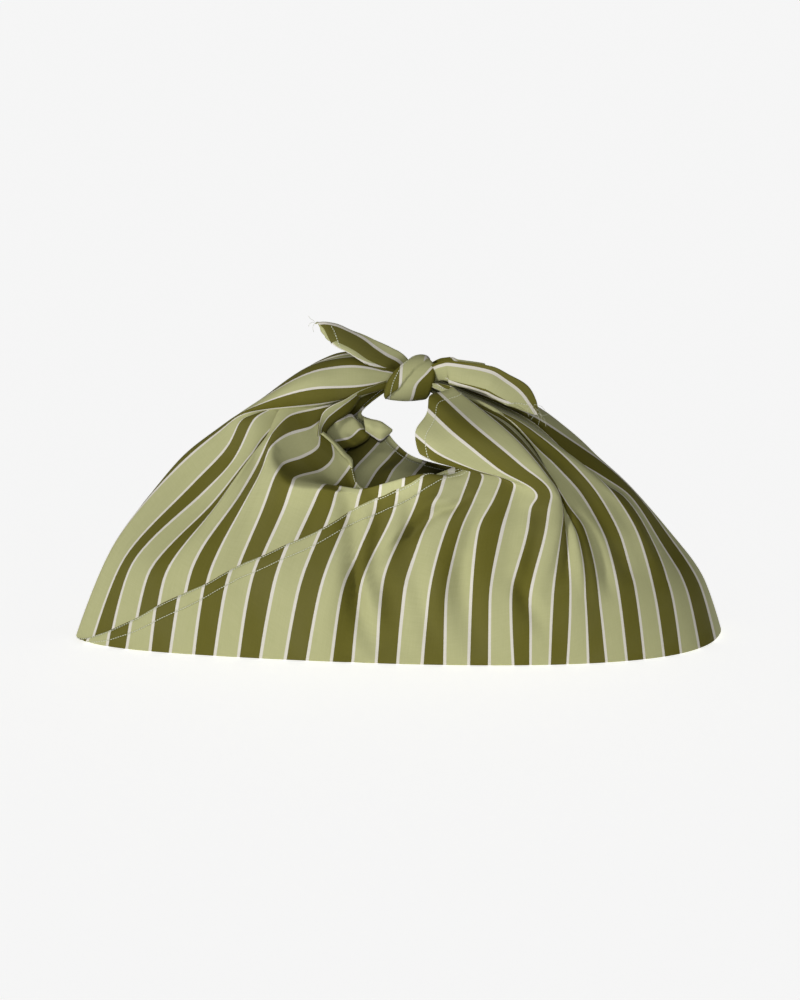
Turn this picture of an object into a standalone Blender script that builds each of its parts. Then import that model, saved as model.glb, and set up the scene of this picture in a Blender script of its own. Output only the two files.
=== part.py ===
# Knotted cloth tote bag: one long strip of striped cloth, sewn into a bag with two ears tied in a knot
import math
from collections import namedtuple

import bmesh
import bpy
import numpy as np
from mathutils import Matrix, Vector

# Driving dimensions, in millimetres
strip_width = 450.0
flat_width = strip_width * math.sqrt(2.0)
cloth_thickness = 1.2
half_length = 304.0
corner_y = -36.0
corner_turn = 26.0
front_depth = 88.0
back_depth = 118.0
lens_power = 0.44
front_skew = 0.77
foot_drift = 19.0
front_floor_cloth = 130.0
back_floor_cloth = 125.0
corner_lift = 4.0
corner_lift_from = 0.35
corner_lift_power = 4
floor_cloth_power = 1.6
wall_bulge = 6.0
floor_top = 20.0
soften_passes = 2
soften_weight = 0.4
soften_from = 4
crease_fade = 0.8
column_pitch = 14.0
fewest_cuts, most_cuts = 2, 4
rows_per_level = (3, 2, 2, 2, 3, 3, 3)
millimetre = 0.001

# Look of the cloth
sage = (0.46, 0.47, 0.25, 1.0)
cloth_roughness = 0.75

# Each fold is one thread of the cloth, followed from the floor to the knot or the hem.
# thread: its place across the flat bag. lean: sideways shift half way up the wall.
# Each level holds the cloth's own height, then x, y and z.
Fold = namedtuple("Fold", "thread lean neck hip tuck edge slope top")

front_folds = (
    Fold(0, -12, (190, -203, -5, 165), (235, -169, -4, 186), (290, -137, -3, 207),
         (385, -76, -9, 222), (430, -46, -8, 231), (470, -8, -5, 239)),
    Fold(20, -14, (185, -196, -13, 144), (235, -163, -10, 177), (280, -131, 0, 206),
         (385, -76, -3, 230), (430, -46, -3, 237), (470, -8, -3, 244)),
    Fold(42, -20, (180, -184, -24, 139), (235, -151, -15, 172), (278, -120, 3, 211),
         (385, -76, 4, 236), (430, -46, 3, 243), (470, -8, 0, 248)),
    Fold(63, -20, (180, -172, -33, 133), (230, -138, -22, 170), (272, -113, -5, 202),
         (375, -76, 3, 222), (430, -46, 4, 232), (470, -8, 1, 242)),
    Fold(84, -18, (180, -160, -42, 132), (225, -136, -31, 166), (264, -115, -19, 196),
         (350, -78, -3, 211), (425, -45, 1, 223), (470, -8, 0, 237)),
    Fold(104, -17, (195, -141, -48, 144), (235, -124, -37, 170), (264, -109, -26, 189),
         (320, -78, -13, 198), (410, -46, -5, 218), (470, -8, -3, 234)),
    Fold(140, -10, (195, -130, -62, 137), (225, -115, -55, 160), (250, -101, -48, 178),
         (300, -80, -28, 192), (380, -53, -12, 214), (470, -8, -6, 233)),
    Fold(168, -5, (205, -116, -69, 142), (225, -106, -66, 156), (245, -96, -60, 169),
         (300, -77, -41, 184), (370, -67, -24, 206), (468, -8, -9, 231)),
    Fold(196, 0, (215, -98, -76, 142), (230, -96, -76, 156), (246, -92, -72, 169),
         (290, -77, -54, 174), (360, -79, -47, 187), (440, -74, -40, 200)),
    Fold(224, 2, (224, -75, -80, 139), (240, -74, -83, 151), (250, -74, -82, 160),
         (290, -63, -62, 163), (350, -59, -50, 165), (412, -48, -44, 173)),
    Fold(252, 0, (240, -52, -84, 139), (255, -47, -83, 153), (262, -45, -80, 159),
         (290, -44, -66, 151), (330, -46, -56, 144), (384, -50, -46, 149)),
    Fold(286, 0, (262, -7, -80, 146), (278, -3, -79, 159), (286, -1, -75, 166),
         (300, -2, -66, 158), (325, -3, -58, 150), (350, -4, -51, 148)),
    Fold(318, 0, (262, 40, -90, 130), (286, 51, -82, 146), (296, 55, -76, 156),
         (304, 59, -69, 164), (311, 63, -61, 172), (318, 66, -54, 178)),
    Fold(342, 0, (262, 54, -94, 118), (290, 67, -80, 146), (308, 73, -68, 160),
         (318, 78, -60, 168), (330, 82, -52, 176), (342, 83, -46, 183)),
    Fold(366, 0, (258, 72, -96, 123), (290, 90, -80, 146), (312, 100, -66, 163),
         (330, 104, -56, 171), (350, 105, -50, 182), (366, 95, -56, 188)),
    Fold(385, 0, (260, 95, -98, 122), (295, 111, -78, 149), (322, 113, -57, 168),
         (345, 99, -60, 178), (366, 79, -64, 182), (385, 61, -66, 185)),
    Fold(404, 0, (262, 115, -99, 124), (298, 127, -78, 151), (325, 119, -58, 169),
         (370, 73, -69, 179), (392, 38, -72, 178), (404, 22, -68, 186)),
    Fold(423, 2, (262, 132, -97, 123), (293, 137, -77, 148), (318, 129, -58, 167),
         (383, 55, -83, 179), (403, 32, -78, 196), (423, 12, -60, 206)),
    Fold(444, 4, (258, 144, -94, 122), (288, 141, -78, 145), (310, 136, -60, 161),
         (352, 99, -89, 166), (400, 59, -82, 205), (444, 26, -48, 224)),
    Fold(463, 7, (256, 152, -91, 121), (285, 146, -79, 143), (300, 142, -69, 153),
         (316, 128, -89, 152), (385, 81, -84, 201), (462, 18, -12, 235)),
    Fold(485, 10, (252, 160, -87, 120), (283, 149, -78, 144), (294, 146, -77, 151),
         (305, 140, -82, 158), (375, 97, -68, 212), (470, 16, -9, 240)),
    Fold(505, 11, (240, 172, -84, 110), (285, 156, -68, 144), (308, 150, -58, 156),
         (330, 135, -46, 168), (385, 104, -24, 206), (470, 14, -4, 240)),
    Fold(525, 11, (238, 188, -77, 108), (285, 164, -63, 145), (312, 152, -58, 167),
         (340, 140, -52, 186), (395, 105, -36, 219), (470, 14, -6, 243)),
    Fold(552, 11, (235, 206, -66, 105), (290, 178, -56, 140), (318, 162, -50, 164),
         (345, 146, -44, 187), (400, 109, -24, 217), (470, 14, -3, 246)),
    Fold(584, 10, (215, 226, -50, 100), (285, 194, -40, 136), (315, 176, -33, 161),
         (345, 157, -26, 186), (400, 113, -12, 218), (470, 14, 0, 248)),
    Fold(612, 14, (190, 242, -32, 95), (265, 204, -24, 131), (303, 185, -18, 157),
         (340, 165, -12, 183), (400, 116, -3, 220), (470, 14, 3, 248)),
    Fold(636, 12, (150, 251, -10, 101), (225, 208, -5, 144), (268, 186, -2, 166),
         (310, 162, 0, 188), (390, 110, 6, 222), (470, 14, 6, 246)),
)

back_folds = (
    Fold(612, 12, (190, 237, 14, 98), (265, 198, 18, 140), (303, 180, 20, 160),
         (340, 158, 22, 180), (400, 112, 22, 216), (470, 14, 9, 243)),
    Fold(570, 4, (215, 215, 48, 90), (265, 185, 44, 128), (300, 165, 40, 150),
         (340, 143, 36, 170), (400, 104, 32, 208), (470, 14, 10, 239)),
    Fold(520, 2, (235, 180, 80, 88), (275, 155, 70, 122), (305, 138, 60, 145),
         (345, 118, 50, 165), (410, 88, 38, 200), (470, 14, 9, 235)),
    Fold(470, 0, (245, 145, 98, 85), (285, 130, 84, 115), (315, 120, 72, 138),
         (350, 108, 58, 160), (410, 80, 36, 200), (468, 16, 6, 231)),
    Fold(420, 0, (245, 105, 106, 85), (285, 98, 94, 112), (310, 94, 82, 132),
         (340, 90, 68, 152), (385, 82, 52, 176), (420, 64, 34, 198)),
    Fold(370, 0, (245, 65, 108, 85), (280, 70, 96, 108), (300, 74, 86, 122),
         (325, 77, 76, 136), (348, 77, 64, 150), (370, 73, 52, 165)),
    Fold(318, 0, (240, 25, 108, 84), (262, 38, 96, 106), (278, 46, 84, 119),
         (292, 53, 72, 129), (306, 60, 58, 137), (318, 65, 46, 143)),
    Fold(272, 0, (235, -20, 106, 84), (270, -8, 94, 108), (293, -2, 82, 122),
         (318, 3, 70, 135), (342, 9, 54, 147), (366, 13, 40, 157)),
    Fold(238, 0, (230, -55, 103, 84), (275, -42, 90, 110), (305, -34, 78, 126),
         (335, -25, 64, 142), (370, -12, 46, 158), (401, -3, 30, 172)),
    Fold(205, 0, (225, -88, 98, 84), (272, -74, 84, 112), (310, -64, 72, 132),
         (350, -52, 58, 152), (395, -34, 34, 178), (431, -21, 17, 197)),
    Fold(182, 0, (220, -115, 90, 84), (268, -98, 76, 114), (310, -86, 64, 138),
         (360, -70, 48, 165), (410, -50, 26, 192), (454, -38, 9, 207)),
    Fold(166, 0, (215, -130, 84, 84), (265, -112, 70, 118), (310, -98, 56, 144),
         (365, -78, 40, 178), (420, -50, 18, 215), (470, -8, 3, 232)),
    Fold(130, -4, (205, -160, 68, 90), (255, -138, 54, 124), (305, -118, 42, 154),
         (370, -86, 28, 195), (425, -48, 16, 230), (470, -8, 5, 240)),
    Fold(90, -8, (195, -185, 42, 118), (245, -158, 32, 156), (295, -130, 22, 192),
         (380, -80, 13, 232), (430, -47, 9, 250), (470, -8, 3, 249)),
    Fold(52, -14, (180, -203, 18, 161), (235, -168, 16, 187), (280, -138, 6, 218),
         (385, -76, -2, 255), (430, -46, -4, 266), (470, -8, -5, 255)),
    Fold(26, -14, (185, -205, 8, 164), (235, -171, 9, 192), (285, -139, -8, 220),
         (385, -75, -22, 238), (430, -46, -20, 246), (470, -8, -12, 246)),
    Fold(8, -13, (190, -205, 1, 166), (235, -173, 3, 192), (290, -140, -12, 212),
         (385, -76, -16, 217), (430, -46, -15, 225), (470, -8, -10, 238)),
)

# Soft creases in the walls. Each runs from a low to a high place on the cloth, given as thread
# and height, and pushes the cloth in by its depth, or out where the depth is negative.
Crease = namedtuple("Crease", "thread_low low thread_high high width depth")

front_creases = (
    Crease(458, 195, 468, 300, 9, 5.0), Crease(482, 170, 478, 285, 10, -4.0),
    Crease(432, 190, 440, 290, 10, -3.0), Crease(252, 120, 262, 235, 14, 4.0),
    Crease(228, 130, 236, 240, 11, -3.0), Crease(296, 150, 286, 262, 12, 4.0),
    Crease(326, 170, 340, 300, 13, -3.0), Crease(398, 170, 388, 300, 12, 3.0),
    Crease(150, 120, 120, 240, 14, 4.0), Crease(96, 110, 70, 240, 13, -3.5),
    Crease(60, 110, 34, 235, 10, 3.0), Crease(540, 170, 520, 330, 13, 4.0),
    Crease(580, 150, 560, 340, 13, -3.5), Crease(610, 140, 596, 330, 12, 3.0),
)
back_creases = (
    Crease(120, 150, 150, 400, 18, 6.0), Crease(200, 180, 190, 380, 16, -4.0),
    Crease(250, 200, 230, 370, 16, 5.0), Crease(400, 200, 420, 370, 16, 5.0),
    Crease(470, 180, 455, 380, 18, -5.0), Crease(530, 160, 510, 400, 18, 6.0),
    Crease(590, 150, 570, 380, 14, -4.0), Crease(70, 150, 90, 360, 14, -4.0),
)

# The knot: a flat band wound aslant round the gathered ears, and the two loose tails
knot_centre = (3.0, -3.0, 242.0)
knot_slant = math.radians(-40.0)
band_radius = 21.0
band_depth = 13.0
band_width = 34.0
band_height = 12.0
knot_core = (28.0, 17.0, 24.0)
core_around, core_rings = 16, 10
band_groove = 3.0
groove_share = 0.3
band_steps = 20
band_sides = 12
leaf_steps = 9
leaf_sides = 7

# A tail is a cupped leaf. Each row is a rib: centre, half width, cup depth and roll in degrees.
Rib = namedtuple("Rib", "x y z half cup roll")
left_tail = (
    Rib(2, -6, 252, 9, 5, 0), Rib(-16, -8, 268, 12, 7, 8), Rib(-40, -12, 278, 13, 8, 15),
    Rib(-60, -14, 283, 11, 6, 20), Rib(-75, -14, 292, 4, 1, 25),
)
right_tail = (
    Rib(20, -14, 243, 10, 5, 0), Rib(46, -34, 250, 15, 7, -6), Rib(76, -44, 250, 16, 8, -8),
    Rib(100, -46, 240, 14, 6, -10), Rib(120, -44, 227, 9, 4, -12), Rib(129, -42, 209, 2, 1, -14),
)


def monotone_curve(knots, values, places):
    """Smooth curve through the values that never swings past them."""
    knots = np.asarray(knots, float)
    values = np.asarray(values, float)
    steps = np.diff(knots)[:, None]
    slopes = np.diff(values, axis=0) / steps
    tangents = np.zeros_like(values)
    before, after = slopes[:-1], slopes[1:]
    weight_before = 2.0 * steps[1:] + steps[:-1]
    weight_after = steps[1:] + 2.0 * steps[:-1]
    same_way = before * after > 0.0
    safe_before = np.where(same_way, before, 1.0)
    safe_after = np.where(same_way, after, 1.0)
    harmonic = (weight_before + weight_after) / (weight_before / safe_before + weight_after / safe_after)
    tangents[1:-1] = np.where(same_way, harmonic, 0.0)
    tangents[0], tangents[-1] = slopes[0], slopes[-1]
    span = np.clip(np.searchsorted(knots, places, side="right") - 1, 0, len(knots) - 2)
    width = (knots[span + 1] - knots[span])[:, None]
    t = (np.asarray(places, float)[:, None] - knots[span][:, None]) / width
    return (values[span] * (1 + 2 * t) * (1 - t) ** 2 + values[span + 1] * t * t * (3 - 2 * t)
            + tangents[span] * width * t * (1 - t) ** 2 + tangents[span + 1] * width * t * t * (t - 1))


def lens(u, skew):
    """Share of the full depth that the bag's footprint has at u of its length."""
    return (4.0 * u * (1.0 - u)) ** lens_power * (1.0 + skew * (u - 0.5))


def fold_levels(fold, is_front):
    """The fold's points from the bottom crease to its top, as rows of cloth height, x, y and z."""
    u = min(max(fold.thread / flat_width, 0.0), 1.0)
    x = -half_length + 2.0 * half_length * u + foot_drift * math.sin(math.pi * u)
    depth = -front_depth * lens(u, front_skew) if is_front else back_depth * lens(u, 0.0)
    foot_y = corner_y + corner_turn * u + depth
    cornering = max(1.0 - 4.0 * u * (1.0 - u) - corner_lift_from, 0.0) / (1.0 - corner_lift_from)
    lift = corner_lift * cornering ** corner_lift_power
    floor_cloth = front_floor_cloth if is_front else back_floor_cloth
    foot_up = max(floor_cloth * math.sin(math.pi * u) ** floor_cloth_power, lift)
    foot = (foot_up, x, foot_y, lift)
    side = -1.0 if is_front else 1.0
    waist = [(low + high) / 2.0 for low, high in zip(foot, fold.neck)]
    waist[1] += fold.lean
    waist[2] += side * wall_bulge * 4.0 * u * (1.0 - u)
    return [foot, tuple(waist), fold.neck, fold.hip, fold.tuck, fold.edge, fold.slope, fold.top]


def cloth_grid():
    """Points of the whole draped sheet: one column per thread, round the bag, and one row per height."""
    folds = [(fold, True) for fold in front_folds] + [(fold, False) for fold in back_folds]
    net = np.array([fold_levels(fold, is_front) for fold, is_front in folds])
    threads = [fold.thread for fold, is_front in folds]
    level_places = np.concatenate(
        [np.linspace(level, level + 1, count, endpoint=False) for level, count in enumerate(rows_per_level)]
        + [[len(rows_per_level)]])
    rows = np.array([monotone_curve(range(net.shape[1]), points, level_places) for points in net])
    wrap = 3  # folds repeated past the ends, so that the curve round the bag closes smoothly
    around = np.concatenate([rows[-wrap:], rows, rows[:wrap + 1]])
    places = []
    for index in range(len(folds)):
        width = abs(threads[(index + 1) % len(folds)] - threads[index])
        cuts = int(min(max(round(width / column_pitch), fewest_cuts), most_cuts))
        places.extend(np.linspace(index, index + 1, cuts, endpoint=False))
    places = np.array(places) + wrap
    columns = np.stack([monotone_curve(range(len(around)), around[:, row], places)
                        for row in range(around.shape[1])], axis=1)
    threads_round = [fold.thread for fold in front_folds]
    threads_round += [2.0 * flat_width - fold.thread for fold in back_folds] + [2.0 * flat_width]
    column_threads = np.interp(places - wrap, range(len(threads_round)), threads_round)
    grid = soften(columns[:, :, 1:4])
    for creases, side in ((front_creases, -1.0), (back_creases, 1.0)):
        for crease in creases:
            grid[:, :, 1] -= side * crease_depth(crease, side, column_threads[:, None], columns[:, :, 0])
    return grid


def crease_depth(crease, side, thread, height):
    """How far a crease pushes each point of the cloth inward."""
    along = np.clip((height - crease.low) / (crease.high - crease.low), 0.0, 1.0)
    middle = crease.thread_low + (crease.thread_high - crease.thread_low) * along
    if side > 0.0:
        middle = 2.0 * flat_width - middle
    across = np.exp(-((thread - middle) / crease.width) ** 2)
    return crease.depth * across * np.sin(math.pi * along) ** crease_fade


def soften(grid):
    """Ease the sharpest creases above the wall, as cloth does."""
    for passes in range(soften_passes):
        beside = (np.roll(grid, 1, axis=0) + np.roll(grid, -1, axis=0)) / 2.0
        above = grid.copy()
        above[:, 1:-1] = (grid[:, 2:] + grid[:, :-2]) / 2.0
        eased = (1.0 - soften_weight) * grid + soften_weight * (beside + above) / 2.0
        grid[:, soften_from:] = eased[:, soften_from:]
    return grid


def add_object(name, bm, collection, colour):
    """A named object with its own cloth material."""
    mesh = bpy.data.meshes.new(name)
    bm.to_mesh(mesh)
    bm.free()
    mesh.shade_smooth()
    obj = bpy.data.objects.new(name, mesh)
    collection.objects.link(obj)
    material = bpy.data.materials.new(name)
    material.use_nodes = True
    shader = material.node_tree.nodes["Principled BSDF"]
    shader.inputs["Base Color"].default_value = colour
    shader.inputs["Roughness"].default_value = cloth_roughness
    mesh.materials.append(material)
    return obj


def sheet_mesh(grid, closed_round):
    """Quads through a grid of points. A sheet that is closed round joins its last column to its first."""
    bm = bmesh.new()
    columns, rows = len(grid), len(grid[0])
    verts = [[bm.verts.new(Vector(point) * millimetre) for point in column] for column in grid]
    for i in range(columns if closed_round else columns - 1):
        j = (i + 1) % columns
        for k in range(rows - 1):
            bm.faces.new((verts[i][k], verts[j][k], verts[j][k + 1], verts[i][k + 1]))
    return bm


def close_floor(bm, top_height):
    """Fill the loop where the walls meet the surface that the bag rests on."""
    loop = [e for e in bm.edges if e.is_boundary and max(v.co.z for v in e.verts) < top_height]
    bmesh.ops.triangle_fill(bm, use_beauty=True, edges=loop)
    bmesh.ops.recalc_face_normals(bm, faces=bm.faces)


def band_grid():
    """A closed ring of flattened cloth round the ears, with a groove between its two rolls."""
    along = Vector((math.cos(knot_slant), 0.0, math.sin(knot_slant)))
    up = Vector((-math.sin(knot_slant), 0.0, math.cos(knot_slant)))
    deep = Vector((0.0, 1.0, 0.0))
    grid = []
    for turn in np.linspace(0.0, 2.0 * math.pi, band_steps, endpoint=False):
        middle = up * band_radius * math.cos(turn) - deep * band_depth * math.sin(turn)
        outward = (up * math.cos(turn) / band_radius - deep * math.sin(turn) / band_depth).normalized()
        ring = []
        for angle in np.linspace(0.0, 2.0 * math.pi, band_sides, endpoint=False):
            across, rise = math.cos(angle), math.sin(angle)
            groove = band_groove * math.exp(-(across / groove_share) ** 2) if rise > 0.0 else 0.0
            sideways = across * band_width / 2.0
            height = rise * band_height / 2.0 - groove
            ring.append(Vector(knot_centre) + middle + along * sideways + outward * height)
        grid.append(ring)
    return grid


def leaf_grid(ribs, samples):
    """A cupped leaf of cloth through its ribs, open along its lower side."""
    table = np.array(ribs, float)
    knots = range(len(ribs))
    places = np.linspace(0.0, len(ribs) - 1, samples)
    rows = monotone_curve(knots, table, places)
    grid = []
    for index, (x, y, z, half, cup, roll) in enumerate(rows):
        ahead = rows[min(index + 1, samples - 1)][:3] - rows[max(index - 1, 0)][:3]
        along = Vector(ahead).normalized()
        across = Vector((0.0, 0.0, 1.0)) - along * along.z
        across.normalize()
        across = Matrix.Rotation(math.radians(roll), 3, along) @ across
        front = along.cross(across).normalized()
        if front.y > 0.0:
            front = -front
        rib = []
        for step in np.linspace(-1.0, 1.0, leaf_sides):
            bow = cup * (1.0 - step * step)
            rib.append(Vector((x, y, z)) + across * (half * step) + front * (bow - cup / 2.0))
        grid.append(rib)
    return grid


def ring_mesh(grid):
    """Close a grid of points both ways, into a ring."""
    bm = sheet_mesh(grid, True)
    bm.verts.ensure_lookup_table()
    sides = len(grid[0])
    for i in range(len(grid)):
        j = (i + 1) % len(grid)
        corners = (i * sides + sides - 1, j * sides + sides - 1, j * sides, i * sides)
        bm.faces.new([bm.verts[corner] for corner in corners])
    bmesh.ops.recalc_face_normals(bm, faces=bm.faces)
    return bm


def core_mesh():
    """The gathered ears where the knot grips them."""
    bm = bmesh.new()
    size = Matrix.Diagonal([axis * millimetre for axis in knot_core] + [1.0])
    place = Matrix.Translation(Vector(knot_centre) * millimetre)
    bmesh.ops.create_uvsphere(bm, u_segments=core_around, v_segments=core_rings, radius=1.0,
                              matrix=place @ size)
    return bm


def thicken(obj):
    """Give a sheet the thickness of its cloth, inward."""
    thickness = obj.modifiers.new("thickness", "SOLIDIFY")
    thickness.thickness = cloth_thickness * millimetre
    thickness.offset = -1.0


def fuse(cloth, piece):
    """Join a piece to the cloth, which is one sheet from end to end."""
    union = cloth.modifiers.new("join_" + piece.name, "BOOLEAN")
    union.operation = "UNION"
    union.object = piece
    piece.hide_render = True
    piece.display_type = "WIRE"


def main():
    """Drape the sheet, join the knot and its tails to it, and stand the bag over the origin."""
    for obj in list(bpy.data.objects):
        bpy.data.objects.remove(obj)
    bag = bpy.data.collections.new("knotted_tote_bag")
    joined = bpy.data.collections.new("joined_pieces")
    for collection in (bag, joined):
        bpy.context.scene.collection.children.link(collection)
    grid = cloth_grid()
    bm = sheet_mesh(grid, True)
    close_floor(bm, floor_top * millimetre)
    cloth = add_object("bag_cloth", bm, bag, sage)
    thicken(cloth)
    core = add_object("knot_core", core_mesh(), joined, sage)
    band = add_object("knot_band", ring_mesh(band_grid()), joined, sage)
    fuse(cloth, core)
    fuse(cloth, band)
    for name, ribs in (("left_tail", left_tail), ("right_tail", right_tail)):
        tail = add_object(name, sheet_mesh(leaf_grid(ribs, leaf_steps), False), joined, sage)
        thicken(tail)
        fuse(cloth, tail)
    points = grid.reshape(-1, 3)
    centre = (points.min(axis=0) + points.max(axis=0)) / 2.0
    frame = bpy.data.objects.new("bag_frame", None)
    bag.objects.link(frame)
    frame.location = (-centre[0] * millimetre, -centre[1] * millimetre, 0.0)
    for obj in list(bag.objects) + list(joined.objects):
        if obj is not frame:
            obj.parent = frame


main()
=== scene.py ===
import math
from collections import namedtuple

import bmesh
import bpy
import numpy as np
from mathutils import Matrix, Vector


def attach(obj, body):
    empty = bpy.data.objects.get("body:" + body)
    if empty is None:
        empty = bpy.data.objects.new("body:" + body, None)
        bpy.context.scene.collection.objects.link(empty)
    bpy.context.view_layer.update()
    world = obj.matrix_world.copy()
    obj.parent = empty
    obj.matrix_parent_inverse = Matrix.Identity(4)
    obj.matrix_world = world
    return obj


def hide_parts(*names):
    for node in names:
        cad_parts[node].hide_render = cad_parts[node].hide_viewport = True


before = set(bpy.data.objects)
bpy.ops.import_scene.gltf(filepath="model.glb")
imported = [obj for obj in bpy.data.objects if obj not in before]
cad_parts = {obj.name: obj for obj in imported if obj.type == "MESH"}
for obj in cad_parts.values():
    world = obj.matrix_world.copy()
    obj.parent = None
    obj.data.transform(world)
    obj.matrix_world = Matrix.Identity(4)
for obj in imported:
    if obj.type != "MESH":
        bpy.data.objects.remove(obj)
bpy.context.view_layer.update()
mm = 0.001

# The cut: one strip, folded on the slant. Each flat side is as wide as the diagonal of a square of the
# strip's width. A place on the cloth is its distance round the bag from the left side fold, and its height
# above the bottom fold. The front goes from 0 to flatWidth, and the back from there to twice flatWidth.
# seamRaised, hemRaised: how far the strips of second cloth stand out. edgeDrop: how much less at an edge.
cut = {"stripWidth": 450.0, "stripLength": 1350.0, "seamWidth": 9.6, "hemWidth": 8.5, "knotHeight": 470.0,
       "seamStart": 4.0, "seamRaised": 0.6, "hemRaised": -2.1, "edgeDrop": 0.7}
cut["flatWidth"] = cut["stripWidth"] * math.sqrt(2.0)

# How the cloth lies, in millimetres, and how finely the sheet is made. Levels count from 0, the bottom fold,
# to 8, the hem. A pair of them says where something sets in and where it is full.
drape = {
    "halfLength": 304.0, "cornerY": -36.0, "cornerTurn": 26.0, "frontDepth": 88.0, "backDepth": 118.0,
    "lensPower": 0.44, "frontSkew": 0.77, "footDrift": 19.0, "wallBulge": 6.0, "floorClothPower": 1.6,
    "frontFloorCloth": 130.0, "backFloorCloth": 125.0, "cornerLift": 4.0, "cornerLiftFrom": 0.35,
    "cornerLiftPower": 4, "columns": 400, "rowsPerLevel": (4, 9, 12, 12, 12, 12, 14, 12), "wrap": 3,
    "softenPasses": 7, "softenWeight": 0.5, "softenLevels": (1.2, 2.6), "hemLevels": (6.0, 8.0),
    "creaseEnds": 0.8, "thickness": 1.5, "plainShare": 0.55, "weld": 0.02, "shift": (0.17, 2.84, 0.0),
}

# Each fold is one thread of the cloth, followed from the floor to the knot or the hem.
# thread: its place across the flat bag. slip: how far its foot has slipped along the floor's edge.
# lean: sideways shift half way up the wall.
# Each level holds the cloth's own height, then x, y and z.
Fold = namedtuple("Fold", "thread slip lean levels")

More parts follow.
